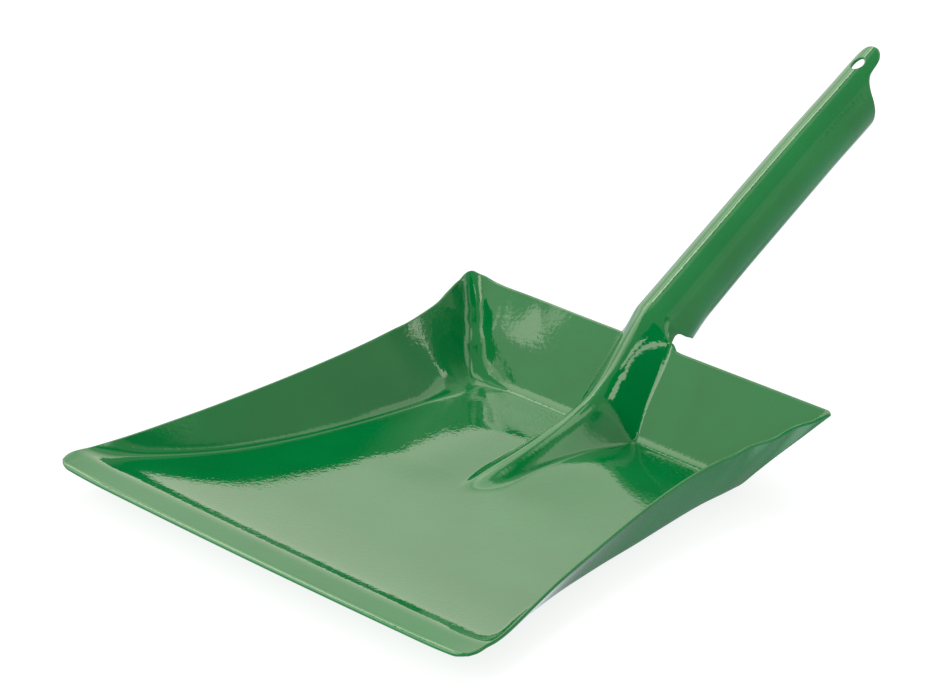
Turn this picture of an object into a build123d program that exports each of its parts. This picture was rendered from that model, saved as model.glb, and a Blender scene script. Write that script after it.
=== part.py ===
from build123d import *
import math
import os

os.makedirs("parts", exist_ok=True)

# ---------------------------------------------------------------- dimensions (mm)
SHEET = 1.4  # coated sheet
Y_SHIFT = 169.76  # design y = 0 at the lip corners, final y = design y - Y_SHIFT

LIP_Z = 12.7  # top of the front lip above the rest plane
LIP_CREST = 12.4  # rear edge of the flat lip
LIP_FOOT = 15.8  # foot of the small step behind it
LIP_BOW = 1.2  # how far the front edge bows out mid-span
LIP_CORNER_R = 9.5
EAR_R = 5.5

FLOOR_FLAT = 135.0  # floor is level behind this y
FLOOR_RAMP = 50.0  # constant slope in front of this y
FLOOR_SLOPE = 0.13

REAR_Y = 184.3  # rear fold
REAR_TOP_Y = 204.7
REAR_TOP_Z = 33.8

FOLD_K = 3.0  # size of the rounded folds
RIB_K = 2.0

HANDLE_Y = 206.4  # a point on the handle axis
HANDLE_Z = 31.3
HANDLE_PITCH = 29.83
TUBE_R = 11.45
SEAM_HALF = 8.0  # half of the open seam under the handle, degrees
NECK_S = 9.1  # neck ends here along the handle axis
NECK_THETA = 92.0
TAB_S = 133.0  # end piece starts here
TAB_TIP = 160.6
TAB_HALF = 6.8
HOLE_S = 150.5
HOLE_R = 3.0

# top edge of the side walls: y, half width, height
EDGE = [
    (-6, 113.9, 13.1), (0, 112.4, 13.15), (15, 109.9, 13.4), (30, 106.2, 14.3), (45, 102.3, 15.7),
    (60, 98.7, 17.3), (80, 94.8, 19.4), (100, 91.2, 21.7), (120, 88.3, 24.0), (135, 86.9, 25.6),
    (150, 86.6, 27.0), (165, 87.9, 28.1), (180, 90.5, 29.6), (193, 93.4, 31.5), (206, 96.6, 33.9), (212, 98.1, 35.0),
]
# crease between floor and side walls: y, half width
CREASE = [
    (-6, 106.0), (14, 104.0), (30, 100.0), (40, 95.9), (50, 91.9), (60, 88.2), (70, 84.9), (80, 82.1), (90, 79.6),
    (100, 77.3), (110, 75.3), (120, 73.3), (130, 71.5), (140, 70.0), (150, 68.8), (160, 68.1), (172, 67.8), (184, 68.2), (212, 70.0),
]
# rib: y, crest height, flank slope, crest rounding
RIB = [
    (104, -9.0, 0.6, 3.0), (110, -2.2, 0.6, 3.0), (114, 1.4, 0.6, 3.2), (118, 3.4, 0.61, 3.4), (126, 5.0, 0.67, 3.8),
    (138, 7.0, 0.9, 4.2), (150, 9.3, 1.08, 4.6), (163, 12.3, 1.3, 5.2), (174, 16.0, 1.53, 6.0), (182, 20.3, 1.8, 7.0),
    (190, 27.2, 1.8, 8.0), (197, 35.0, 1.55, 9.4), (204.7, 42.4, 1.12, 11.0), (212, 47.6, 0.8, 12.0),
]


def curve(knots, k):
    """Natural cubic spline through knots (column 0 against column k)."""
    xs = [q[0] for q in knots]
    ys = [q[k] for q in knots]
    n = len(xs)
    h = [xs[i + 1] - xs[i] for i in range(n - 1)]
    m = [0.0] * n  # second derivatives
    c, d = [0.0] * n, [0.0] * n
    for i in range(1, n - 1):
        r = 6 * ((ys[i + 1] - ys[i]) / h[i] - (ys[i] - ys[i - 1]) / h[i - 1])
        p = 2 * (h[i - 1] + h[i]) - h[i - 1] * c[i - 1]
        c[i] = h[i] / p
        d[i] = (r - h[i - 1] * d[i - 1]) / p
    for i in range(n - 2, 0, -1):
        m[i] = d[i] - c[i] * m[i + 1]

    def value(x):
        i = 0
        while i < n - 2 and x > xs[i + 1]:
            i += 1
        u, v = xs[i + 1] - x, x - xs[i]
        return (
            (m[i] * u**3 + m[i + 1] * v**3) / (6 * h[i])
            + (ys[i] / h[i] - m[i] * h[i] / 6) * u
            + (ys[i + 1] / h[i] - m[i + 1] * h[i] / 6) * v
        )

    return value


edge_x, edge_z, crease_x = curve(EDGE, 1), curve(EDGE, 2), curve(CREASE, 1)
rib_z, rib_m, rib_r = curve(RIB, 1), curve(RIB, 2), curve(RIB, 3)


def smax(a, b, k):
    """Larger of two heights, blended where they are within k of each other."""
    h = max(k - abs(a - b), 0.0) / k
    return max(a, b) + h**3 * k / 6


def floor_z(y):
    if y > FLOOR_FLAT:
        return SHEET
    c = FLOOR_SLOPE / (2 * (FLOOR_FLAT - FLOOR_RAMP))
    if y > FLOOR_RAMP:
        return SHEET + c * (FLOOR_FLAT - y) ** 2
    return SHEET + c * (FLOOR_FLAT - FLOOR_RAMP) ** 2 + FLOOR_SLOPE * (FLOOR_RAMP - y)


def base_z(y):
    t = min(max((y - LIP_CREST) / (LIP_FOOT - LIP_CREST), 0.0), 1.0)
    w = t**3 * (10 - 15 * t + 6 * t * t)
    return LIP_Z * (1 - w) + floor_z(max(y, LIP_CREST)) * w


def pan_z(x, y):
    a = abs(x)
    b = base_z(y)
    side = b + (edge_z(y) - b) * (a - crease_x(y)) / (edge_x(y) - crease_x(y))
    back = SHEET + (y - REAR_Y) * (REAR_TOP_Z - SHEET) / (REAR_TOP_Y - REAR_Y)
    wall = smax(side, back, 3.8 + 0.1 * max(back, 0.0))
    z = smax(b, wall, FOLD_K)
    if 100 < y and a < 40:
        r = rib_r(y)
        z = smax(z, rib_z(y) - rib_m(y) * (math.hypot(x, r) - r), RIB_K)
    return z


def pan_point(x, y):
    return (x, y, pan_z(x, y))


def unit(v):
    n = math.sqrt(sum(c * c for c in v))
    return tuple(c / n for c in v)


def pan_under(x, y):
    h = 0.05
    zx = (pan_z(x + h, y) - pan_z(x - h, y)) / (2 * h)
    zy = (pan_z(x, y + h) - pan_z(x, y - h)) / (2 * h)
    n = unit((-zx, -zy, 1.0))
    z = pan_z(x, y)
    return (x - SHEET * n[0], y - SHEET * n[1], z - SHEET * n[2])


def moved(p):
    return Vector(p[0], p[1] - Y_SHIFT, p[2])


def plate(top, bottom):
    """Thin solid between two point grids, closed by ruled side faces."""
    faces = [
        Face.make_surface_from_array_of_points([[moved(p) for p in row] for row in grid], tol=0.02, min_deg=3, max_deg=3)
        for grid in (top, bottom)
    ]
    lower = list(faces[1].edges())
    for e in faces[0].edges():
        mate = min(lower, key=lambda o: (o @ 0.5 - e @ 0.5).length)
        faces.append(Face.make_surface_from_curves(e, mate))
    return Solid(Shell(faces))


def steps(a, b, n):
    return [a + (b - a) * i / n for i in range(n + 1)]


def pan_plate(x0, x1, ys, nx):
    """Plate of the pan between the curves x0(y) and x1(y) over the y stations."""
    grid = [[(x0(y) + (x1(y) - x0(y)) * i / nx, y) for i in range(nx + 1)] for y in ys]
    return plate([[pan_point(*q) for q in row] for row in grid], [[pan_under(*q) for q in row] for row in grid])


def split_x(y):
    return crease_x(y) - 6.0


# where the sheet is divided into pieces, as seen in plan
FRONT_Y = LIP_FOOT + 1.4
RIB_Y = 108.0
BACK_Y = REAR_Y - 6.3
RIB_HALF = 20.0
NECK_HALF = 15.4  # foot of the rib where it leaves the back wall
NECK_TRIM = 18.0
CORNER_X = 58.0
SPARE = 3.0  # each sheet is made this much too large, then trimmed to its plan

split_line = [(split_x(y), y) for y in steps(FRONT_Y - 4, BACK_Y + 4, 16)]


def plan_box(x0, x1, y0, y1):
    """Plan rectangle under the part."""
    with BuildSketch(Plane.XY.offset(-5), mode=Mode.PRIVATE) as plan:
        with Locations(((x0 + x1) / 2, (y0 + y1) / 2 - Y_SHIFT)):
            Rectangle(x1 - x0, y1 - y0)
    return plan.sketch


def plan_outline(points, corners, radius):
    """Plan polygon with some corners rounded."""
    with BuildSketch(Plane.XY.offset(-5), mode=Mode.PRIVATE) as plan:
        with BuildLine():
            Polyline(*[(x, y - Y_SHIFT) for x, y in points], close=True)
        make_face()
        fillet([v for v in plan.vertices() if any(math.hypot(v.X - x, v.Y - y + Y_SHIFT) < 0.1 for x, y in corners)], radius)
    return plan.sketch


def plan_beside(side):
    """Plan area outside (side = 1) or between (side = 0) the two split lines."""
    with BuildSketch(Plane.XY.offset(-5), mode=Mode.PRIVATE) as plan:
        with BuildLine():
            right = Spline(*[(x, y - Y_SHIFT) for x, y in split_line])
            if side:
                Polyline(right @ 1, (150, (right @ 1).Y), (150, (right @ 0).Y), right @ 0)
            else:
                left = Spline(*[(-x, y - Y_SHIFT) for x, y in split_line])
                Line(right @ 1, left @ 1)
                Line(right @ 0, left @ 0)
        make_face()
    return plan.sketch


# ---------------------------------------------------------------- front lip
lip_grid = []
for w in steps(0.0, 1.0, 56):
    row = []
    for u in steps(-1.0, 1.0, 120):
        yf = -LIP_BOW * (1 - u * u)
        y = yf + (FRONT_Y + SPARE - yf) * w
        row.append((u * edge_x(y), y))
    lip_grid.append(row)
lip_plan = [(u * edge_x(0), -LIP_BOW * (1 - u * u)) for u in steps(-1, 1, 12)]
lip_plan = lip_plan + [(edge_x(FRONT_Y) + 0.2, FRONT_Y), (-edge_x(FRONT_Y) - 0.2, FRONT_Y)]
with BuildPart() as front_lip:
    add(plate([[pan_point(*q) for q in row] for row in lip_grid], [[pan_under(*q) for q in row] for row in lip_grid]))
    add(plan_outline(lip_plan, [(edge_x(0), 0), (-edge_x(0), 0)], LIP_CORNER_R))
    extrude(amount=40, mode=Mode.INTERSECT)
front_lip.part.label = "front_lip"

# ---------------------------------------------------------------- floor
front_end, flat_start, rear_end = FRONT_Y - SPARE, FLOOR_FLAT, BACK_Y + SPARE


def floor_under(y):
    slope = (floor_z(y + 0.05) - floor_z(y - 0.05)) / 0.1
    n = math.hypot(slope, 1.0)
    return (y + SHEET * slope / n - Y_SHIFT, floor_z(y) - SHEET / n)


with BuildPart() as pan_floor:
    with BuildSketch(Plane.YZ):
        with BuildLine():
            upper = Spline(*[(y - Y_SHIFT, floor_z(y)) for y in steps(front_end, flat_start, 24)])
            lower = Spline(*[floor_under(y) for y in steps(front_end, flat_start, 24)])
            Line(upper @ 0, lower @ 0)
            Polyline(upper @ 1, (rear_end - Y_SHIFT, SHEET), (rear_end - Y_SHIFT, 0), lower @ 1)
        make_face()
    extrude(amount=120, both=True)
    add(plan_beside(0))
    extrude(amount=60, mode=Mode.INTERSECT)
    add(plan_box(-150, 150, FRONT_Y, BACK_Y))
    extrude(amount=60, mode=Mode.INTERSECT)
    add(plan_box(-RIB_HALF, RIB_HALF, RIB_Y, 300))
    extrude(amount=60, mode=Mode.SUBTRACT)
pan_floor.part.label = "pan_floor"

# ---------------------------------------------------------------- side walls
wall_y = steps(FRONT_Y - SPARE, BACK_Y + SPARE, 120)
with BuildPart() as side_wall_right:
    add(pan_plate(lambda y: split_x(y) - SPARE, edge_x, wall_y, 44))
    add(plan_beside(1))
    extrude(amount=80, mode=Mode.INTERSECT)
    add(plan_box(0, 150, FRONT_Y, BACK_Y))
    extrude(amount=80, mode=Mode.INTERSECT)
side_wall_right.part.label = "side_wall_right"
with BuildPart() as side_wall_left:
    mirror(side_wall_right.part, about=Plane.YZ)
side_wall_left.part.label = "side_wall_left"

# ---------------------------------------------------------------- back wall
fold_a, fold_b = REAR_Y - 2.0, REAR_Y + 2.0


def back_profile(y, depth):
    """Point of the back wall's section, depth below its inside face."""
    z = [pan_z(0.5 * (NECK_TRIM + CORNER_X), y + d) for d in (-0.05, 0.0, 0.05)]
    slope = (z[2] - z[0]) / 0.1
    n = math.hypot(slope, 1.0)
    return (y + depth * slope / n - Y_SHIFT, z[1] - depth / n)


with BuildPart() as back_wall_right:
    with BuildSketch(Plane.YZ.offset(NECK_TRIM)):
        with BuildLine():
            inner = Spline(*[back_profile(y, 0.0) for y in steps(fold_a, fold_b, 12)])
            outer = Spline(*[back_profile(y, SHEET) for y in steps(fold_a, fold_b, 12)])
            top_in, top_out = back_profile(REAR_TOP_Y, 0.0), back_profile(REAR_TOP_Y, SHEET)
            Polyline(inner @ 1, top_in, top_out, outer @ 1)
            Polyline(inner @ 0, (BACK_Y - Y_SHIFT, SHEET), (BACK_Y - Y_SHIFT, 0), outer @ 0)
        make_face()
    extrude(amount=CORNER_X - NECK_TRIM)
back_wall_right.part.label = "back_wall_right"
with BuildPart() as back_wall_left:
    mirror(back_wall_right.part, about=Plane.YZ)
back_wall_left.part.label = "back_wall_left"

# ---------------------------------------------------------------- drawn rear corners
corner_y = steps(BACK_Y - SPARE, REAR_TOP_Y, 66)
ear = (edge_x(REAR_TOP_Y), REAR_TOP_Y)
ear_out = (ear[0] + 0.6, ear[1] + 0.6)
with BuildPart() as rear_corner_right:
    add(pan_plate(lambda y: CORNER_X - SPARE, edge_x, corner_y, 72))
    add(plan_outline([(CORNER_X, BACK_Y), (edge_x(BACK_Y) + 3, BACK_Y), ear_out, (CORNER_X, REAR_TOP_Y + 0.6)], [ear_out], EAR_R))
    extrude(amount=80, mode=Mode.INTERSECT)
rear_corner_right.part.label = "rear_corner_right"
with BuildPart() as rear_corner_left:
    mirror(rear_corner_right.part, about=Plane.YZ)
rear_corner_left.part.label = "rear_corner_left"

# ---------------------------------------------------------------- rib pressed into the floor
rib_y = steps(RIB_Y - SPARE, BACK_Y + SPARE, 76)
with BuildPart() as floor_rib:
    add(pan_plate(lambda y: -RIB_HALF - SPARE, lambda y: RIB_HALF + SPARE, rib_y, 92))
    add(plan_box(-RIB_HALF, RIB_HALF, RIB_Y, BACK_Y))
    extrude(amount=80, mode=Mode.INTERSECT)
floor_rib.part.label = "floor_rib"

# ---------------------------------------------------------------- neck, from the rear fold up to the rolled handle
pitch = math.radians(HANDLE_PITCH)
AX = (0.0, math.cos(pitch), math.sin(pitch))
UP = (0.0, -math.sin(pitch), math.cos(pitch))


def tube_point(theta, s):
    t = math.radians(theta)
    return (
        TUBE_R * math.sin(t),
        HANDLE_Y + s * AX[1] + TUBE_R * math.cos(t) * UP[1],
        HANDLE_Z + s * AX[2] + TUBE_R * math.cos(t) * UP[2],
    )


def neck_point(phi, v):
    """phi runs across (-1..1 is the half tube); v below 0 is the rib on the back wall, 0..1 the neck, above 1 the tube."""
    x = NECK_HALF * phi
    if v <= 0:
        return pan_point(x, REAR_TOP_Y + v)
    if v >= 1:
        return tube_point(NECK_THETA * phi, NECK_S + (v - 1) * 6)
    a = pan_point(x, REAR_TOP_Y)
    b = tube_point(NECK_THETA * phi, NECK_S)
    run = math.dist(a, b)
    slope = (pan_z(x, REAR_TOP_Y) - pan_z(x, REAR_TOP_Y - 0.2)) / 0.2
    ta = unit((0.0, 1.0, slope))
    h0, h1 = 2 * v**3 - 3 * v**2 + 1, 3 * v**2 - 2 * v**3
    g0, g1 = v**3 - 2 * v**2 + v, v**3 - v**2
    return tuple(h0 * a[k] + h1 * b[k] + run * (g0 * ta[k] + g1 * AX[k]) for k in range(3))


def neck_under(phi, v):
    h = 0.003
    p1, p0 = neck_point(phi + h, v), neck_point(phi - h, v)
    q1, q0 = neck_point(phi, v + h), neck_point(phi, v - h)
    u = [p1[k] - p0[k] for k in range(3)]
    w = [q1[k] - q0[k] for k in range(3)]
    n = unit((u[1] * w[2] - u[2] * w[1], u[2] * w[0] - u[0] * w[2], u[0] * w[1] - u[1] * w[0]))
    p = neck_point(phi, v)
    return tuple(p[k] - SHEET * n[k] for k in range(3))


O = Vector(0, HANDLE_Y - Y_SHIFT, HANDLE_Z)
A3 = Vector(*AX)
side_plane = Plane(origin=O, x_dir=AX, z_dir=(1, 0, 0))  # local x along the handle, local y up
top_plane = Plane(origin=O, x_dir=AX, z_dir=UP)  # local x along the handle, local z up
flank = tube_point(NECK_THETA, NECK_S)

neck_v = steps(BACK_Y - SPARE - REAR_TOP_Y, 0, 62) + steps(0, 1, 14)[1:] + [1.15, 1.3]
neck_grid = [[(phi, v) for phi in steps(-1.32, 1.32, 110)] for v in neck_v]
neck_plan = [(NECK_TRIM, BACK_Y), (NECK_TRIM, REAR_TOP_Y), (NECK_HALF, REAR_TOP_Y), (NECK_HALF, 300)]
neck_plan = neck_plan + [(-x, y) for x, y in reversed(neck_plan)]
with BuildPart() as handle_neck:
    add(plate([[neck_point(*q) for q in row] for row in neck_grid], [[neck_under(*q) for q in row] for row in neck_grid]))
    add(plan_outline(neck_plan, [(NECK_HALF, REAR_TOP_Y), (-NECK_HALF, REAR_TOP_Y)], 0.8))
    extrude(amount=80, mode=Mode.INTERSECT)
    with BuildSketch(Plane.YZ):  # flank edges left free by the relief slots
        with BuildLine():
            Polyline(
                (REAR_TOP_Y - Y_SHIFT, REAR_TOP_Z - 0.3), (flank[1] - Y_SHIFT, flank[2]), (flank[1] + 4 - Y_SHIFT, flank[2] + 2),
                (flank[1] + 4 - Y_SHIFT, 15), (REAR_TOP_Y + 1.4 - Y_SHIFT, 15), (REAR_TOP_Y + 1.4 - Y_SHIFT, REAR_TOP_Z - 1.6), close=True,
            )
        make_face()
    extrude(amount=40, both=True, mode=Mode.SUBTRACT)
    with BuildSketch(side_plane):
        with Locations((NECK_S + 10, 0)):
            Rectangle(20, 60)
    extrude(amount=40, both=True, mode=Mode.SUBTRACT)
handle_neck.part.label = "handle_neck"


# ---------------------------------------------------------------- rolled handle
def tube_section(s):
    """C section of the rolled sheet, open at the seam underneath."""
    with BuildSketch(Plane(origin=O + A3 * s, x_dir=(-1, 0, 0), z_dir=AX), mode=Mode.PRIVATE) as sec:
        Circle(TUBE_R)
        Circle(TUBE_R - SHEET, mode=Mode.SUBTRACT)
        with Locations((0, -TUBE_R)):
            Rectangle(2 * TUBE_R * math.sin(math.radians(SEAM_HALF)), TUBE_R, mode=Mode.SUBTRACT)
    return sec.sketch


with BuildPart() as handle_grip:
    add(tube_section(NECK_S))
    extrude(amount=TAB_S - NECK_S, dir=AX)
    with BuildSketch(side_plane):
        with BuildLine():
            Polyline((NECK_S - 4, -0.4), (NECK_S, -0.4), (11.4, -4.7), (14.5, -7.7), (17.5, -11.6), (17.5, -16), (NECK_S - 4, -16), close=True)
        make_face()
    extrude(amount=20, both=True, mode=Mode.SUBTRACT)
handle_grip.part.label = "handle_grip"

with BuildPart() as hanging_tab:
    add(tube_section(TAB_S))
    extrude(amount=TAB_TIP - TAB_S, dir=AX)
    with BuildSketch(side_plane):
        with BuildLine():
            cut = Spline((133.6, -12.5), (137.0, -7.6), (139.8, -1.8), (141.2, 2.0), (142.6, 5.0), (144.8, 7.4), (148.2, 8.9), (153.0, 9.35))
            Polyline(cut @ 1, (165, 9.35), (165, -12.5), cut @ 0)
        make_face()
    extrude(amount=20, both=True, mode=Mode.SUBTRACT)
    with BuildSketch(top_plane):
        with Locations((160, 0)):
            Rectangle(13, 40)
        with Locations((TAB_TIP - TAB_HALF, 0)):
            Circle(TAB_HALF, mode=Mode.SUBTRACT)
    extrude(amount=20, mode=Mode.SUBTRACT)
    with BuildSketch(top_plane):
        with Locations((HOLE_S, 0)):
            Circle(HOLE_R)
    extrude(amount=20, mode=Mode.SUBTRACT)
hanging_tab.part.label = "hanging_tab"

# ---------------------------------------------------------------- export
export_step(front_lip.part, "parts/front_lip.step")
export_step(pan_floor.part, "parts/pan_floor.step")
export_step(side_wall_left.part, "parts/side_wall_left.step")
export_step(side_wall_right.part, "parts/side_wall_right.step")
export_step(back_wall_left.part, "parts/back_wall_left.step")
export_step(back_wall_right.part, "parts/back_wall_right.step")
export_step(rear_corner_left.part, "parts/rear_corner_left.step")
export_step(rear_corner_right.part, "parts/rear_corner_right.step")
export_step(floor_rib.part, "parts/floor_rib.step")
export_step(handle_neck.part, "parts/handle_neck.step")
export_step(handle_grip.part, "parts/handle_grip.step")
export_step(hanging_tab.part, "parts/hanging_tab.step")

for piece in (front_lip, pan_floor, side_wall_left, side_wall_right, back_wall_left, back_wall_right, rear_corner_left, rear_corner_right, floor_rib, handle_neck, handle_grip, hanging_tab):
    box = piece.part.bounding_box()
    print(
        piece.part.label, round(piece.part.volume, 1), piece.part.is_valid, len(piece.part.solids()), len(piece.part.faces()),
        [round(v, 2) for v in (*box.min, *box.max)],
    )
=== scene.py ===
import math

import bpy
import numpy as np
from mathutils import Matrix, Vector


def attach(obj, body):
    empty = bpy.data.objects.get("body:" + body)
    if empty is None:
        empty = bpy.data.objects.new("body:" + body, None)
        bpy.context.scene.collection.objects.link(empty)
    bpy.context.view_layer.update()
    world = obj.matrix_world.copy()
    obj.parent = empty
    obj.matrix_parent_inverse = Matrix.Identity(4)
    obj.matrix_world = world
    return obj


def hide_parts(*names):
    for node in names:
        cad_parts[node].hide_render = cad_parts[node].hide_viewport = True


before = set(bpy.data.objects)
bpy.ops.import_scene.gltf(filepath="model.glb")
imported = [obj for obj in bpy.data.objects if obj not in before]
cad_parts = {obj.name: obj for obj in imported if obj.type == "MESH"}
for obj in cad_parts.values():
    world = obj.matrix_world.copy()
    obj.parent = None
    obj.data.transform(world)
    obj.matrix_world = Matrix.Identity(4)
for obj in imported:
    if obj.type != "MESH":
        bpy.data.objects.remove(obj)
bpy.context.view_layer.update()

# ------------------------------------------------------------------ sheet geometry, design millimetres
# x to the right, y from the lip corners back to the handle, z up; final y = design y - Y_SHIFT
Y_SHIFT = 169.76
SHEET = 1.4
LIP_BOW = 1.2
REAR_Y, REAR_TOP_Y, REAR_TOP_Z = 184.3, 204.7, 33.8
FOLD_K, RIB_K = 4.2, 2.0
HANDLE_Y, HANDLE_Z, HANDLE_PITCH, TUBE_R = 206.6, 30.95, math.radians(29.83), 11.6
NECK_LEFT, NECK_RIGHT, NECK_THETA, TAB_THETA = 10.4, 14.6, 78.5, 52.333
HOLE_X, HOLE_S, HOLE_R = -0.7, 150.7, 3.1
FRONT_Y, RIB_Y, BACK_Y, TAB_S = 17.2, 108.0, 178.0, 133.0
RIM, FRONT_IN = 0.75, 1.0  # how far the rounded sheet edge stands out past the top face, where that starts at the lip

# top edge of the side walls: y, half width, height
EDGE = [
    (-6, 113.9, 13.1), (0, 112.4, 13.15), (15, 109.9, 13.4), (30, 106.2, 14.3), (45, 102.3, 15.7),
    (60, 98.7, 17.3), (80, 94.8, 19.4), (100, 91.2, 21.7), (120, 88.3, 24.0), (135, 86.9, 25.6),
    (150, 86.6, 27.0), (165, 87.9, 28.1), (180, 90.5, 29.6), (193, 93.7, 31.9), (200, 95.9, 33.4), (206, 98.2, 34.9), (212, 100.8, 36.6),
]
# crease between floor and side walls: y, half width
CREASE = [
    (-6, 106.0), (14, 104.0), (30, 100.0), (40, 95.9), (50, 91.9), (60, 88.2), (70, 84.9), (80, 82.1), (90, 79.6),
    (100, 77.3), (110, 75.3), (120, 73.3), (130, 71.5), (140, 70.0), (150, 68.8), (160, 68.1), (172, 67.8), (184, 68.2), (212, 70.0),
]
# how much further out the right crease lies: y, distance
RIGHT_OUT = [
    (-6, 1.0), (14, 1.8), (24, 2.0), (34, 1.2), (48, 0.8), (62, 0.95), (80, 1.25), (96, 1.8), (110, 2.4), (122, 3.2), (136, 3.5), (150, 3.3),
    (164, 2.7), (176, 2.4), (184, 1.7), (196, 1.5), (212, 1.5),
]
# fall of the floor towards the back: y, drop per millimetre (the lip rises a little, then drops behind its crest)
FALL = [
    (-8, -0.050), (0, -0.052), (6, -0.052), (9, -0.042), (10.3, -0.005), (11.2, 0.075), (12, 0.160), (13, 0.245), (14, 0.287), (15, 0.296),
    (16.5, 0.291), (18.5, 0.268), (20.9, 0.226), (24, 0.202), (34, 0.176), (48.5, 0.138), (62, 0.100), (74.3, 0.069), (94, 0.036),
    (110, 0.012), (120, 0.0), (130, 0.0), (150, 0.0), (220, 0.0),
]
# rib: y, crest height, flank slope, crest rounding
RIB = [
    (96, -7.0, 0.78, 7.0), (104, -3.2, 0.78, 7.0), (110, -0.6, 0.78, 7.0), (114, 1.2, 0.78, 6.8), (118, 2.8, 0.8, 6.6), (126, 4.9, 0.85, 6.2),
    (138, 7.0, 0.99, 5.8), (150, 9.3, 1.12, 5.6), (163, 12.3, 1.32, 5.8), (174, 16.0, 1.54, 6.4), (182, 20.3, 1.8, 7.2),
    (190, 27.2, 1.8, 8.0), (197, 35.0, 1.55, 9.4), (204.7, 42.4, 1.12, 11.0), (212, 47.6, 0.8, 12.0),
]
# free lower edge of the rolled handle at the neck, and its cut end: degrees round from the crown, distance along the handle
FLANGE = [(78.5, 7.8), (79.4, 8.8), (81, 9.4), (84, 10.0), (90, 10.75), (98, 11.6), (111, 13.5), (125, 14.9), (140, 16.2), (169, 18.2)]
END_CUT = [(TAB_THETA, 144.0), (64, 142.0), (80, 140.2), (99, 138.8), (130, 136.8), (169, 134.0)]
# outline of the hanging tab, same units
TAB = [
    (TAB_THETA, 144.0), (48.4, 144.8), (42.8, 146.2), (40, 147.1), (37.2, 148.2), (34.6, 150.5), (34, 151.4), (33.2, 153.0),
    (31.8, 154.8), (29, 156.7), (24, 158.2), (16, 159.6), (0, 160.3),
]


def spline(knots, k):
    """Natural cubic spline, column k against column 0."""
    xs = np.array([q[0] for q in knots], float)
    ys = np.array([q[k] for q in knots], float)
    n, h = len(xs), np.diff(np.array([q[0] for q in knots], float))
    a, r = np.eye(n), np.zeros(n)
    for i in range(1, n - 1):
        a[i, i - 1 : i + 2] = h[i - 1], 2 * (h[i - 1] + h[i]), h[i]
        r[i] = 6 * ((ys[i + 1] - ys[i]) / h[i] - (ys[i] - ys[i - 1]) / h[i - 1])
    m = np.linalg.solve(a, r)

    def value(x):
        x = np.asarray(x, float)
        i = np.clip(np.searchsorted(xs, x) - 1, 0, n - 2)
        u, v, g = xs[i + 1] - x, x - xs[i], h[i]
        return (m[i] * u**3 + m[i + 1] * v**3) / (6 * g) + (ys[i] / g - m[i] * g / 6) * u + (ys[i + 1] / g - m[i + 1] * g / 6) * v

    return value


edge_x, edge_z, crease_x, right_out = spline(EDGE, 1), spline(EDGE, 2), spline(CREASE, 1), spline(RIGHT_OUT, 1)
rib_z, rib_m, rib_r = spline(RIB, 1), spline(RIB, 2), spline(RIB, 3)
flange_s, end_s = spline(FLANGE, 1), spline(END_CUT, 1)


def smooth(t):
    t = np.clip(t, 0.0, 1.0)
    return t * t * (3 - 2 * t)


def smax(a, b, k):
    h = np.maximum(k - np.abs(a - b), 0.0) / k
    return np.maximum(a, b) + h**3 * k / 6


def round_max(a, b, k):
    h = np.maximum(k - np.abs(a - b), 0.0) / k
    return np.maximum(a, b) + h**2 * k / 4


def bow(x):
    return LIP_BOW * np.maximum(1 - (x / 110.0) ** 2, 0)


def bow_fade(y):
    return 1 - smooth((y - 16) / 32)


fall = spline(FALL, 1)
_y = np.arange(-8.0, 216.01, 0.5)
_m = np.concatenate([[0.0], np.cumsum((fall(_y[1:]) + 4 * fall(_y[1:] - 0.25) + fall(_y[:-1])) * 0.5 / 6)])
base_z = spline(list(zip(_y, SHEET + _m[-1] - _m)), 1)


def pucker(x, y):
    """Shallow waves left along the wall tops by drawing the rear corners, fewer on the left."""
    wave = smooth((y - 152) / 14) * smooth((202 - y) / 10) * np.cos(2 * np.pi * (y - 170) / 20)
    left = 0.12 * wave - 0.75 * smooth((y - 150) / 20) * smooth((206 - y) / 8) - 1.0 * smooth((y - 196) / 8) + 0.4 * smooth((25 - y) / 20)
    ear = 2.3 * np.exp(-(((y - 194) / np.where(y < 194, 9.0, 6.5)) ** 2)) * smooth((203.5 - y) / 4)  # the left rear tip is broader
    return np.where(x > 0, 0.5 * wave, left + ear)


def fold_x(x, y):
    """Crease between floor and side wall; the right one lies a little further out, the left one swings out at the rear."""
    return crease_x(y) + np.where(x > 0, right_out(y), 3.15 * smooth((y - 164) / 20))


def sway(x, y):
    """Small sideways shift of the lip and of the two rear tips."""
    return 0.8 * (1 - smooth(y / 60)) + 0.8 * smooth((y - 185) / 15) * smooth((np.abs(x) - 40) / 20)


def hollow(x):
    """Where the back wall leans back a little more, left of the handle."""
    return np.exp(-(((x + 56) / 17) ** 2))


def corner_draw(x, y):
    """How far the left rear corner is drawn out along its valley."""
    across, up = (x + 71.3) * 0.675 + (y - 184) * 0.738, (y - 184) * 0.675 - (x + 71.3) * 0.738
    return 1.9 * np.exp(-((across / np.where(across < 0, 14.8, 8.2)) ** 2)) * smooth((up - 7.5) / 9) * smooth((30.5 - up) / 10) * (x < 0)


def crown(x, y):
    """Floor drawn up a little on both sides of the rib's foot."""
    dish = 0.6 * np.exp(-(((x + 28) / 16) ** 2)) * smooth((y - 95) / 20) * smooth((172 - y) / 22)  # the floor is not quite flat on the left
    return 1.5 * np.exp(-(((x - 12) / 30) ** 2)) * smooth(x / 10) * smooth((y - 112) / 40) * (1 - smooth((y - 160) / 22)) + dish


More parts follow.
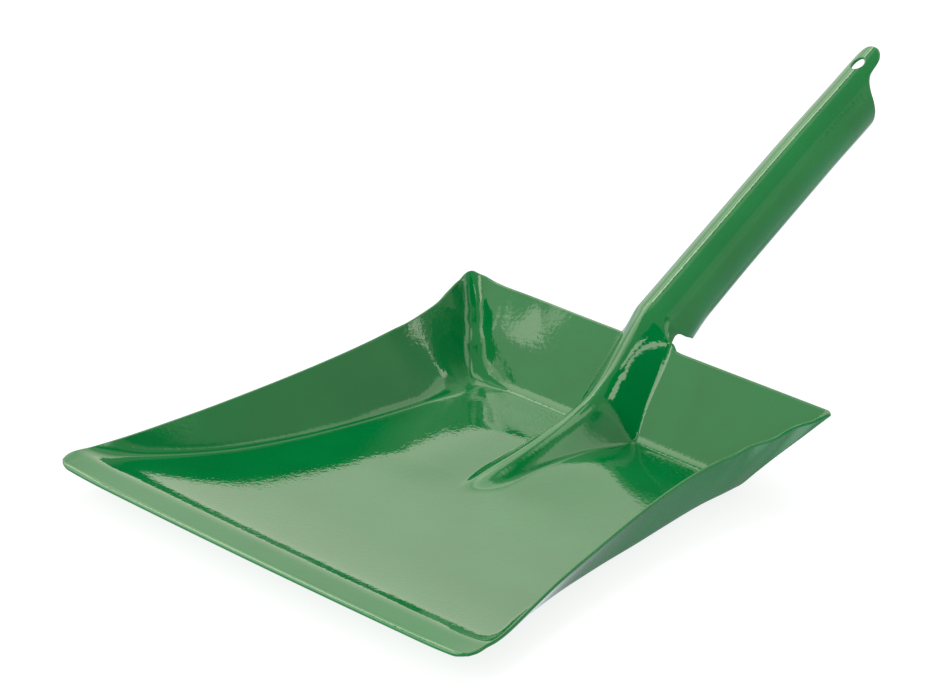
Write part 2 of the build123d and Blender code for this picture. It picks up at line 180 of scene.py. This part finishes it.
def pan_z(x, y):
    x = x - sway(x, y)
    a = np.abs(x)
    b = base_z(y + bow(x) * bow_fade(y)) + crown(x, y)
    b = b - 0.42 * np.clip(1 - (y + bow(x) - FRONT_IN) / 1.7, 0, 1.2) ** 2  # the lip's cut edge is bent down by the shears
    up = (a - fold_x(x, y)) / (edge_x(y) - fold_x(x, y))
    side = b + (edge_z(y) - b) * up + pucker(x, y) * np.clip(up, 0, 1.2) ** 2
    back = SHEET + (y - REAR_Y) * (REAR_TOP_Z - SHEET) / (REAR_TOP_Y - REAR_Y) - 1.9 * smooth((y - 192) / 14) * hollow(x)
    wall = np.where(x > 0, smax(side, back, 2.6 + 0.03 * np.maximum(back, 0)), round_max(side, back, 11.0))
    part = smooth((side - back + 6) / 12)
    wide = part * 11.0 * smooth((y - 150) / 28) + (1 - part) * 11.8 * smooth((-52 - x) / 18)  # the left rear corner runs softly into the floor
    z = smax(b, wall - corner_draw(x, y), FOLD_K + np.where(x < 0, wide, 0.0))
    r = rib_r(np.maximum(y, 96))
    m = rib_m(np.maximum(y, 96)) + 1.1 * smooth((y - 188) / 16) * (x < 0)  # the left flank ends steeper
    rib = rib_z(np.maximum(y, 96)) - m * (np.hypot(x, r) - r)
    gentle, crisp = RIB_K + 3 * smooth((138 - y) / 26), RIB_K - 0.7 * smooth((170 - y) / 30)
    soft = crisp + (gentle - crisp) * smooth((x + 8) / 6)  # the right foot runs out softly, the left one is a crease
    return np.where((y > 96) & (a < 40), smax(z, rib, soft), z)


AX = np.array((0.0, math.cos(HANDLE_PITCH), math.sin(HANDLE_PITCH)))
UP = np.array((0.0, -math.sin(HANDLE_PITCH), math.cos(HANDLE_PITCH)))


def tube(theta, s):
    """Points of the rolled handle: degrees round from its crown, distance along its axis."""
    theta, s = np.broadcast_arrays(np.asarray(theta, float), np.asarray(s, float))
    side = np.abs(theta)
    theta = theta - 5 * smooth((s - 122) / 28) * smooth((100 - side) / 40)
    r = TUBE_R + 0.4 * smooth((s - 110) / 28) * smooth((side - 40) / 50) - 0.7 * smooth((s - 95) / 55) * smooth((80 - side) / 30)
    r = r + (0.5 * smooth((60 - s) / 45) + 1.6 * smooth((28 - s) / 20)) * smooth((side - 70) / 40)
    t = np.radians(theta)
    origin = np.array((0.0, HANDLE_Y, HANDLE_Z))
    return origin + s[..., None] * AX + (r * np.cos(t))[..., None] * UP + (r * np.sin(t))[..., None] * np.array((1.0, 0, 0))


def round_corner(a, b, r):
    """Moves points (distance a and b from two edges that meet square) so that the corner is rounded to radius r."""
    span = 2 * r
    t = np.minimum(a, b)
    along = np.abs(a - b)
    rho = np.maximum(r - t, 1e-9)
    full = span - t
    use = (t < r) & (along < full)
    moved = along * ((span - r) + np.pi * rho / 4) / np.maximum(full, 1e-9)
    on_arc = moved <= np.pi * rho / 4
    alpha = np.pi / 4 - moved / rho
    near = np.where(on_arc, r - rho * np.cos(alpha), t)
    far = np.where(on_arc, r - rho * np.sin(alpha), r + moved - np.pi * rho / 4)
    first = a <= b
    return np.where(use, np.where(first, near, far), a), np.where(use, np.where(first, far, near), b)


def run(a, b, n):
    return list(np.linspace(a, b, n + 1)[1:])


ROWS = np.array(
    [0.0] + run(0, 2.1, 7) + run(2.1, 10, 9) + run(10, 12, 3) + run(12, FRONT_Y, 18) + run(FRONT_Y, 20, 4) + run(20, RIB_Y, 38)
    + run(RIB_Y, BACK_Y, 56) + run(BACK_Y, 190, 30) + run(190, 199, 12) + run(199, REAR_TOP_Y, 9)
)
COLS = (24, 8, 14, 5, 16, 18)  # columns between the break lines of one half
HALF = sum(COLS)
NECK_ROWS, GRIP_ROWS, END_ROWS, FLANGE_COLS, TAB_COLS, TAB_STEPS, TAB_RINGS, RIM_STEPS = 14, 40, 8, 24, 16, 20, 6, 6


def wall_edge(y):
    return edge_x(y) - 0.45


_cut_x = np.linspace(-22.0, -NECK_LEFT, 24)
_lo, _hi = np.full(24, 196.0), np.full(24, REAR_TOP_Y - 0.35)
for _ in range(40):  # left of the neck the slit follows the wall's top edge on through the foot of the rib
    _mid = (_lo + _hi) / 2
    _high = pan_z(_cut_x, _mid) > REAR_TOP_Z - 0.55
    _lo, _hi = np.where(_high, _lo, _mid), np.where(_high, _mid, _hi)
_cut_y = _hi


def rear_edge(x):
    """y of the pan's rear edge; on the right it runs on a little where the neck leaves it."""
    right = REAR_TOP_Y - 0.35 + 1.3 * smooth((18.9 - x) / 3.9)
    left = np.interp(x, _cut_x, _cut_y)
    left = left + (REAR_TOP_Y + 0.95 - left) * smooth((x + NECK_LEFT) / 8) + 0.25 * smooth((-83.5 - x) / 7) + 0.95 * hollow(x) + 0.6 * np.exp(-(((x + 86) / 7) ** 2))
    return np.where(x > 0, right, left)


def pan_grid():
    v = ROWS
    crease = crease_x(np.minimum(v, 182.0))
    crease = np.where(v > 182, crease + (85 - crease) * (v - 182) / 21.5, crease)
    w = smooth((v - 174) / 7)
    halves = []
    for neck in (NECK_LEFT, NECK_RIGHT):
        stations = [
            0 * v, 0 * v + neck, 20 - 2 * smooth((v - 176) / 5), (crease_x(v) - 6) * (1 - w) + 58 * w,
            crease - 4, crease + 4.5, wall_edge(v),
        ]
        half = [stations[0]]
        for k, n in enumerate(COLS):
            half += [stations[k] + (stations[k + 1] - stations[k]) * i / n for i in range(1, n + 1)]
        halves.append(np.stack(half, 1))
    x = np.concatenate([-halves[0][:, :0:-1], halves[1]], 1)
    v = np.repeat(v[:, None], x.shape[1], 1)
    y = v - bow(x) * bow_fade(v) + FRONT_IN * np.maximum(0, 1 - v / 3) + (rear_edge(x) - REAR_TOP_Y) * smooth((v - 199) / 5.7)
    # front corners, then rear corners
    a, b = wall_edge(y) - np.abs(x), y - (FRONT_IN - bow(x))
    a, b = round_corner(a, b, np.where(x > 0, 7.4, 8.9))
    front = v < 24
    y = np.where(front, FRONT_IN - bow(x) + b, y)
    x = np.where(front, np.sign(x) * (wall_edge(y) - a), x)
    a, b = wall_edge(y) - np.abs(x), rear_edge(x) - y
    a, b = round_corner(a, b, np.where(x > 0, 2.6, 3.4))
    rear = (v > 190) & (np.abs(x) > 60)
    y = np.where(rear, rear_edge(x) - b, y)
    x = np.where(rear, np.sign(x) * (wall_edge(y) - a), x)
    x = x + sway(x, y)
    return np.stack([x, y, pan_z(x, y)], -1)


def build_sheet():
    """Top face of the whole blank: points, quads, and the piece that each quad belongs to."""
    points, quads, zone = [], [], []

    def add(p):
        p = np.asarray(p).reshape(-1, 3)
        first = sum(len(q) for q in points)
        points.append(p)
        return np.arange(first, first + len(p))

    def weave(index, name):
        for i in range(len(index) - 1):
            for j in range(len(index[0]) - 1):
                quads.append((index[i][j], index[i][j + 1], index[i + 1][j + 1], index[i + 1][j]))
                zone.append(name(i, j) if callable(name) else name)

    grid = pan_grid()
    pan = add(grid).reshape(grid.shape[:2])
    breaks = np.cumsum(COLS)

    def pan_zone(i, j):
        k = j - HALF if j >= HALF else HALF - 1 - j  # column counted out from the middle
        side = "right" if j >= HALF else "left"
        if ROWS[i + 1] <= FRONT_Y + 1e-6:
            return "front_lip"
        if ROWS[i] >= BACK_Y - 1e-6:
            if k < breaks[1]:
                return "handle_neck"
            return ("back_wall_" if k < breaks[2] else "rear_corner_") + side
        if k >= breaks[2]:
            return "side_wall_" + side
        if k < breaks[1] and ROWS[i] >= RIB_Y - 1e-6:
            return "floor_rib"
        return "pan_floor"

    weave(pan, pan_zone)

    # neck, from the rib's end on the rear edge to the rolled handle
    n = COLS[0]
    phi = np.linspace(-1, 1, 2 * n + 1)
    start = grid[-1, HALF - n : HALF + n + 1]
    neck_s = 7.8 + 5.2 * (1 - phi**2)
    end = tube(NECK_THETA * phi, neck_s)
    slope = (pan_z(start[:, 0], start[:, 1]) - pan_z(start[:, 0], start[:, 1] - 0.2)) / 0.2
    ta = np.stack([0 * slope, 1 + 0 * slope, slope], 1)
    ta /= np.linalg.norm(ta, axis=1)[:, None]
    reach = np.linalg.norm(end - start, axis=1)[:, None] * (1 - 0.75 * smooth((np.abs(phi) - 0.55) / 0.45))[:, None]
    neck = [pan[-1, HALF - n : HALF + n + 1]]
    for k in range(1, NECK_ROWS + 1):
        t = k / NECK_ROWS
        h0, h1 = 2 * t**3 - 3 * t**2 + 1, 3 * t**2 - 2 * t**3
        g0, g1 = t**3 - 2 * t**2 + t, t**3 - t**2
        neck.append(add(h0 * start + h1 * end + reach * (g0 * ta + g1 * AX)))
    weave(neck, "handle_neck")

    # rolled handle
    wing = NECK_THETA + (169.0 - NECK_THETA) * np.linspace(0, 1, FLANGE_COLS + 1)[1:] ** 1.6
    theta = np.concatenate([-wing[::-1], NECK_THETA * phi, wing])
    s0 = np.concatenate([flange_s(wing)[::-1], neck_s, flange_s(wing)])
    s1 = np.where(np.abs(theta) <= TAB_THETA + 0.1, 144.0, end_s(np.maximum(np.abs(theta), TAB_THETA)))
    rows = [np.concatenate([add(tube(theta[:FLANGE_COLS], s0[:FLANGE_COLS])), neck[-1], add(tube(theta[-FLANGE_COLS:], s0[-FLANGE_COLS:]))])]
    for k in range(1, GRIP_ROWS + 1):
        rows.append(add(tube(theta, s0 + (TAB_S - s0) * k / GRIP_ROWS)))
    weave(rows, "handle_grip")
    tail = [rows[-1]]
    for k in range(1, END_ROWS + 1):
        tail.append(add(tube(theta, TAB_S + (s1 - TAB_S) * k / END_ROWS)))
    weave(tail, "hanging_tab")

    # tab with its hole: rings between the outline and the hole
    mid = FLANGE_COLS + n
    base = tail[-1][mid - TAB_COLS : mid + TAB_COLS + 1]
    bx, bs = TUBE_R * np.sin(np.radians(theta[mid - TAB_COLS : mid + TAB_COLS + 1])), np.full(2 * TAB_COLS + 1, 144.0)
    ox = np.array([TUBE_R * math.sin(math.radians(t)) for t, _ in TAB])
    os_ = np.array([s for _, s in TAB])
    d = np.concatenate([[0], np.cumsum(np.hypot(np.diff(ox), np.diff(os_)))])
    # mirrored past the tip so that the outline is smooth there
    dd = np.concatenate([d, 2 * d[-1] - d[-2::-1]])
    fx = spline(list(zip(dd, np.concatenate([ox, -ox[-2::-1]]))), 1)
    fs = spline(list(zip(dd, np.concatenate([os_, os_[-2::-1]]))), 1)
    q = np.linspace(0, 2 * d[-1], 2 * TAB_STEPS + 1)[1:-1]
    lx, ls = np.concatenate([bx, fx(q)]), np.concatenate([bs, fs(q)])
    angle = np.arctan2(lx - HOLE_X, ls - HOLE_S)
    hx, hs = HOLE_X + (HOLE_R + RIM) * np.sin(angle), HOLE_S + (HOLE_R + RIM) * np.cos(angle)

    def on_tube(px, ps):
        return tube(np.degrees(np.arcsin(np.clip(px / TUBE_R, -1, 1))), ps)

    ring = np.concatenate([base, add(on_tube(fx(q), fs(q)))])
    for k in range(1, TAB_RINGS + 1):
        t = k / TAB_RINGS
        inner = add(on_tube(lx + (hx - lx) * t, ls + (hs - ls) * t))
        for i in range(len(ring)):
            j = (i + 1) % len(ring)
            quads.append((ring[i], ring[j], inner[j], inner[i]))
            zone.append("hanging_tab")
        ring = inner
    return np.concatenate(points), np.array(quads), np.array(zone), pan


def vertex_normals(p, quads, pan):
    n = np.zeros_like(p)
    face = np.cross(p[quads[:, 2]] - p[quads[:, 0]], p[quads[:, 3]] - p[quads[:, 1]])
    for k in range(4):
        np.add.at(n, quads[:, k], face)
    # the pan's own slope is smoother than its quads
    inner = pan[ROWS < 203.0].ravel()
    x, y = p[inner, 0], p[inner, 1]
    h = 0.04
    zx = (pan_z(x + h, y) - pan_z(x - h, y)) / (2 * h)
    zy = (pan_z(x, y + h) - pan_z(x, y - h)) / (2 * h)
    n[inner] = np.stack([-zx, -zy, np.ones_like(zx)], 1)
    return n / np.linalg.norm(n, axis=1)[:, None]


def edge_rings(p, n, quads):
    """Rounded sheet edge: for each point of a free edge, the points and normals round it from top to bottom face."""
    directed = {}
    for k in range(4):
        for a, b in zip(quads[:, k].tolist(), quads[:, (k + 1) % 4].tolist()):
            directed[(a, b)] = True
    after = {a: b for a, b in directed if (b, a) not in directed}
    before = {b: a for a, b in after.items()}
    rings = {}
    for a, b in after.items():
        t = p[b] - p[before[a]]
        c = np.cross(t, n[a])
        c /= np.linalg.norm(c)
        beta = np.linspace(0, np.pi, RIM_STEPS + 1)[:, None]
        ring = p[a] - n[a] * SHEET / 2 + np.cos(beta) * n[a] * SHEET / 2 + RIM * np.sin(beta) * c
        facing = np.cos(beta) / (SHEET / 2) * n[a] + np.sin(beta) / RIM * c
        rings[a] = (ring, facing / np.linalg.norm(facing, axis=1)[:, None])
    return after, rings


def piece_mesh(name, p, n, quads, zone, after, rings):
    """Closed mesh of one piece of the sheet: points, faces and a normal for each face corner."""
    mine = quads[zone == name]
    used = np.unique(mine)
    top = {v: i for i, v in enumerate(used.tolist())}
    m = len(used)
    points = [*p[used], *(p[used] - SHEET * n[used])]
    faces, normals = [], []

    def put(face, facing):
        faces.append(face)
        normals.extend(facing)

    for q in mine.tolist():
        put([top[v] for v in q], [n[v] for v in q])
        put([top[v] + m for v in reversed(q)], [-n[v] for v in reversed(q)])
    edges = {}
    for k in range(4):
        for a, b in zip(mine[:, k].tolist(), mine[:, (k + 1) % 4].tolist()):
            edges[(a, b)] = True
    border = [(a, b) for a, b in edges if (b, a) not in edges]
    free = {(a, b) for a, b in border if after.get(a) == b}
    walls = [e for e in border if e not in free]
    ring_at = {}

    def ring(v):
        if v not in ring_at:
            pts = rings[v][0]
            first = len(points)
            points.extend(pts[1:-1])
            ring_at[v] = [top[v], *range(first, first + len(pts) - 2), top[v] + m]
        return ring_at[v]

    for a, b in sorted(free):
        ra, rb, fa, fb = ring(a), ring(b), rings[a][1], rings[b][1]
        for k in range(len(ra) - 1):
            put([rb[k], ra[k], ra[k + 1], rb[k + 1]], [fb[k], fa[k], fa[k + 1], fb[k + 1]])
    flat = []
    for a, b in walls:
        flat.append([top[b], top[a], top[a] + m, top[b] + m])
    ends, starts = {b for a, b in free}, {a for a, b in free}
    for v in sorted(ends ^ starts):  # where a free edge runs into a neighbouring piece
        flat.append(ring(v) if v in ends else ring(v)[::-1])
    pts = np.array(points)
    for f in flat:
        c = pts[f]
        facing = np.zeros(3)
        for i in range(len(f)):
            facing += np.cross(c[i] - c[0], c[(i + 1) % len(f)] - c[0])
        facing /= max(np.linalg.norm(facing), 1e-12)
        put(f, [facing] * len(f))
    return pts, faces, np.array(normals)


# ------------------------------------------------------------------ finish: glossy green stove enamel on steel
def green_coat():
    mat = bpy.data.materials.new("green_coat")
    mat.use_nodes = True
    nt = mat.node_tree
    nt.nodes.clear()
    node, link = nt.nodes.new, nt.links.new
    out, bsdf = node("ShaderNodeOutputMaterial"), node("ShaderNodeBsdfPrincipled")
    link(bsdf.outputs["BSDF"], out.inputs["Surface"])
    coord = node("ShaderNodeTexCoord")

    def noise(scale, detail, rough=0.5):
        t = node("ShaderNodeTexNoise")
        t.inputs["Scale"].default_value = scale
        t.inputs["Detail"].default_value = detail
        t.inputs["Roughness"].default_value = rough
        link(coord.outputs["Object"], t.inputs["Vector"])
        return t

    def ramp(source, stops):
        r = node("ShaderNodeValToRGB")
        while len(r.color_ramp.elements) < len(stops):
            r.color_ramp.elements.new(0.5)
        for e, (pos, col) in zip(r.color_ramp.elements, stops):
            e.position, e.color = pos, col
        link(source, r.inputs["Fac"])
        return r

    # slight unevenness of the coat's thickness
    film = noise(38.0, 3.0)
    tone = ramp(film.outputs["Fac"], [(0.32, (0.0, 0.158, 0.033, 1)), (0.68, (0.0, 0.182, 0.039, 1))])
    link(tone.outputs["Color"], bsdf.inputs["Base Color"])
    # handled paint is a little duller in places
    wear = noise(22.0, 4.0, 0.6)
    dull = node("ShaderNodeMapRange")
    dull.inputs["From Min"].default_value, dull.inputs["From Max"].default_value = 0.35, 0.7
    dull.inputs["To Min"].default_value, dull.inputs["To Max"].default_value = 0.035, 0.06
    link(wear.outputs["Fac"], dull.inputs["Value"])
    link(dull.outputs["Result"], bsdf.inputs["Roughness"])
    # orange peel
    peel = noise(520.0, 2.0)
    bump = node("ShaderNodeBump")
    bump.inputs["Strength"].default_value = 1.0
    bump.inputs["Distance"].default_value = 0.000034
    link(peel.outputs["Fac"], bump.inputs["Height"])
    link(bump.outputs["Normal"], bsdf.inputs["Normal"])
    bsdf.inputs["IOR"].default_value = 1.5
    return mat


sheet_p, sheet_q, sheet_zone, pan_index = build_sheet()
sheet_n = vertex_normals(sheet_p, sheet_q, pan_index)
free_after, free_rings = edge_rings(sheet_p, sheet_n, sheet_q)
coat = green_coat()
for part in sorted(set(sheet_zone.tolist())):
    pts, faces, normals = piece_mesh(part, sheet_p, sheet_n, sheet_q, sheet_zone, free_after, free_rings)
    pts = (pts - np.array((0, Y_SHIFT, 0))) / 1000
    mesh = bpy.data.meshes.new(part + "_sheet")
    mesh.from_pydata(pts.tolist(), [], faces)
    mesh.polygons.foreach_set("use_smooth", [True] * len(mesh.polygons))
    mesh.normals_split_custom_set(normals.tolist())
    mesh.materials.append(coat)
    obj = bpy.data.objects.new(part + "_sheet", mesh)
    bpy.context.scene.collection.objects.link(obj)
    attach(obj, "root")
    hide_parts(part)


# ------------------------------------------------------------------ studio
def plain(name, colour, glow):
    mat = bpy.data.materials.new(name)
    mat.use_nodes = True
    nt = mat.node_tree
    bsdf = nt.nodes["Principled BSDF"]
    t = nt.nodes.new("ShaderNodeTexNoise")
    t.inputs["Scale"].default_value = 6.0
    r = nt.nodes.new("ShaderNodeValToRGB")
    r.color_ramp.elements[0].color = [c * 0.995 for c in colour] + [1]
    r.color_ramp.elements[1].color = [*colour, 1]
    nt.links.new(t.outputs["Fac"], r.inputs["Fac"])
    nt.links.new(r.outputs["Color"], bsdf.inputs["Base Color"])
    bsdf.inputs["Roughness"].default_value = 0.9
    bsdf.inputs["Specular IOR Level"].default_value = 0.0
    bsdf.inputs["Emission Color"].default_value = (1, 1, 1, 1)
    bsdf.inputs["Emission Strength"].default_value = glow
    return mat


def stage_floor():
    mesh = bpy.data.meshes.new("studio_floor")
    n, size = 24, 6.0
    verts = [((i / n - 0.5) * size, (j / n - 0.5) * size, -0.0003) for j in range(n + 1) for i in range(n + 1)]
    faces = [(j * (n + 1) + i, j * (n + 1) + i + 1, (j + 1) * (n + 1) + i + 1, (j + 1) * (n + 1) + i) for j in range(n) for i in range(n)]
    mesh.from_pydata(verts, [], faces)
    mesh.materials.append(plain("studio_floor", (0.3, 0.3, 0.3), 0.82))
    obj = bpy.data.objects.new("studio_floor", mesh)
    bpy.context.scene.collection.objects.link(obj)
    obj.visible_glossy = False


stage_floor()

world = bpy.data.worlds.new("studio")
bpy.context.scene.world = world
world.use_nodes = True
wt = world.node_tree
wt.nodes.clear()
sky = wt.nodes.new("ShaderNodeTexCoord").outputs["Generated"]


def math_node(op, a, b=None):
    n = wt.nodes.new("ShaderNodeMath")
    n.operation = op
    for k, v in enumerate((a, b)):
        if isinstance(v, (int, float)):
            n.inputs[k].default_value = v
        elif v is not None:
            wt.links.new(v, n.inputs[k])
    return n.outputs[0]


def along(v):
    n = wt.nodes.new("ShaderNodeVectorMath")
    n.operation = "DOT_PRODUCT"
    wt.links.new(sky, n.inputs[0])
    n.inputs[1].default_value = v
    return n.outputs["Value"]


def step(value, lo, hi):
    """Soft step from 0 at lo to 1 at hi."""
    n = wt.nodes.new("ShaderNodeMapRange")
    n.interpolation_type = "SMOOTHSTEP"
    wt.links.new(value, n.inputs["Value"])
    n.inputs["From Min"].default_value, n.inputs["From Max"].default_value = lo, hi
    return n.outputs["Result"]


height = math_node("ARCSINE", along((0, 0, 1)))


def panel(turn, half_turn, soft_turn, level, half_level, soft_level):
    """Soft-edged panel of light: degrees round from straight behind the pan towards its right, degrees up."""
    t = math.radians(turn)
    angle = math_node("ARCTAN2", along((math.cos(t), -math.sin(t), 0)), along((math.sin(t), math.cos(t), 0)))
    across = math_node("SUBTRACT", math.radians(half_turn), math_node("ABSOLUTE", angle))
    rise = math_node("SUBTRACT", math.radians(half_level), math_node("ABSOLUTE", math_node("SUBTRACT", height, math.radians(level))))
    sa, sb = math.radians(soft_turn), math.radians(soft_level)
    return math_node("MULTIPLY", step(across, -sa, sa), step(rise, -sb, sb))


PANELS = [
    (0.95, (-90, 60, 14, 10, 30, 8)),  # large low glow on the left
    (0.28, (-48, 20, 8, 28, 9, 4)),
    (2.80, (-110.5, 24.5, 1.5, 38.5, 11.2, 0.9)),  # bright boxes above it
    (1.80, (-127.3, 1.7, 0.6, 25, 1.9, 0.6)),
    (1.40, (-143, 8, 2, 42, 8, 2)),
    (0.95, (-92, 15, 8, 58, 8, 5)),
    (0.30, (-78, 12, 5, 22, 18, 6)),
    (1.90, (-74, 14, 4, 41, 9, 1.5)),
    (3.90, (-81, 8, 2, 47.5, 3.8, 0.5)),
    (2.10, (-48, 13, 4, 50, 11, 3)),
    (2.40, (0, 75, 12, 72.5, 6, 2.5)),  # high box behind
    (0.45, (5, 40, 8, 50, 6, 3)),
    (1.60, (47, 14, 3, 46, 10.5, 1.5)),
    (3.60, (32, 4.2, 1, 32.6, 3, 0.8)),
    (0.40, (85, 7, 3, 26, 33, 4)),
    (0.30, (64, 17, 6, 16, 27, 6)),
]
glow = 0.6
for strength, shape in PANELS:
    glow = math_node("ADD", math_node("MULTIPLY", panel(*shape), strength), glow)
for strength, shape in [(0.9, (6, 22, 5, 61.2, 3.0, 1.0)), (0.85, (73, 5, 1.5, 53, 6, 2.5)), (0.95, (-85, 6.5, 2, 52.9, 1.5, 0.4))]:  # gaps between them
    glow = math_node("MULTIPLY", glow, math_node("SUBTRACT", 1.0, math_node("MULTIPLY", panel(*shape), strength)))
# the dark side of the room, on the right, with a strip light in it
shade = math_node("MULTIPLY", panel(127, 52, 3, 32, 34, 3), step(along((0, -0.8675, -0.4974)), -0.335, -0.305))
glow = math_node("MULTIPLY", glow, math_node("SUBTRACT", 1.0, shade))
strip = panel(118, 17, 2, 49.2, 4.0, 0.7)
for shape in [(141, 8, 1.5, 46.4, 5.2, 0.8), (155, 7, 1.5, 43.4, 1.8, 0.6), (171, 7.5, 1.5, 48.1, 2.7, 0.7), (-172, 29, 3, 30.5, 3.5, 1.2)]:
    strip = math_node("MAXIMUM", strip, panel(*shape))
glow = math_node("ADD", glow, math_node("MULTIPLY", strip, 5.0))
# what the floor side gives back, whiter than the lamps
above = step(height, math.radians(-1), math.radians(1))
low = math_node("ADD", math_node("MULTIPLY", step(height, math.radians(-38), math.radians(-30)), 0.6), 0.28)
low = math_node("ADD", low, math_node("MULTIPLY", math_node("SUBTRACT", 1.0, step(height, math.radians(-60), math.radians(-49))), 0.65))
w_out, w_bg, w_low, w_side = (wt.nodes.new("ShaderNode" + k) for k in ("OutputWorld", "Background", "Background", "MixShader"))
w_bg.inputs["Color"].default_value = (1.0, 0.975, 0.82, 1)
w_low.inputs["Color"].default_value = (1.0, 1.0, 1.1, 1)
wt.links.new(glow, w_bg.inputs["Strength"])
wt.links.new(low, w_low.inputs["Strength"])
wt.links.new(above, w_side.inputs[0])
wt.links.new(w_low.outputs["Background"], w_side.inputs[1])
wt.links.new(w_bg.outputs["Background"], w_side.inputs[2])
# even dome for all that is not a mirror image
w_dome, w_mix, w_path = wt.nodes.new("ShaderNodeBackground"), wt.nodes.new("ShaderNodeMixShader"), wt.nodes.new("ShaderNodeLightPath")
w_dome.inputs["Color"].default_value = (1, 1, 1, 1)
w_dome.inputs["Strength"].default_value = 0.6
wt.links.new(w_path.outputs["Is Glossy Ray"], w_mix.inputs[0])
wt.links.new(w_dome.outputs["Background"], w_mix.inputs[1])
wt.links.new(w_side.outputs["Shader"], w_mix.inputs[2])
wt.links.new(w_mix.outputs["Shader"], w_out.inputs["Surface"])


def fill(name, at, towards, size, watts):
    """Broad fill light that only lightens, without a mirror image in the coat."""
    data = bpy.data.lights.new(name, "AREA")
    data.shape, data.size, data.energy = "DISK", size, watts
    obj = bpy.data.objects.new(name, data)
    obj.matrix_world = Matrix.Translation(at) @ (Vector(towards) - Vector(at)).to_track_quat("-Z", "Y").to_matrix().to_4x4()
    obj.visible_glossy = False
    bpy.context.scene.collection.objects.link(obj)


fill("fill_front", (0.2, -1.75, 1.0), (0, 0, 0.02), 2.2, 20.0)
fill("fill_top", (-0.73, 0.42, 1.81), (0, 0, 0.02), 1.6, 15.0)

# ------------------------------------------------------------------ camera
cam = bpy.data.cameras.new("camera")
cam.sensor_fit, cam.sensor_width = "HORIZONTAL", 36.0
cam.lens = 3762.225 / 943 * 36
cam.clip_start, cam.clip_end = 0.05, 50
right, up, ahead = (0.69759603, 0.71644993, -0.00769987), (-0.28114321, 0.28359786, 0.91680464), (-0.65902828, 0.63739451, -0.39926177)
at = (921.3817, -778.2369 - Y_SHIFT, 615.5013)
cam_obj = bpy.data.objects.new("camera", cam)
bpy.context.scene.collection.objects.link(cam_obj)
cam_obj.matrix_world = Matrix([(right[i], up[i], -ahead[i], at[i] / 1000) for i in range(3)] + [(0, 0, 0, 1)])
bpy.context.scene.camera = cam_obj
bpy.context.scene.view_settings.view_transform = "Standard"
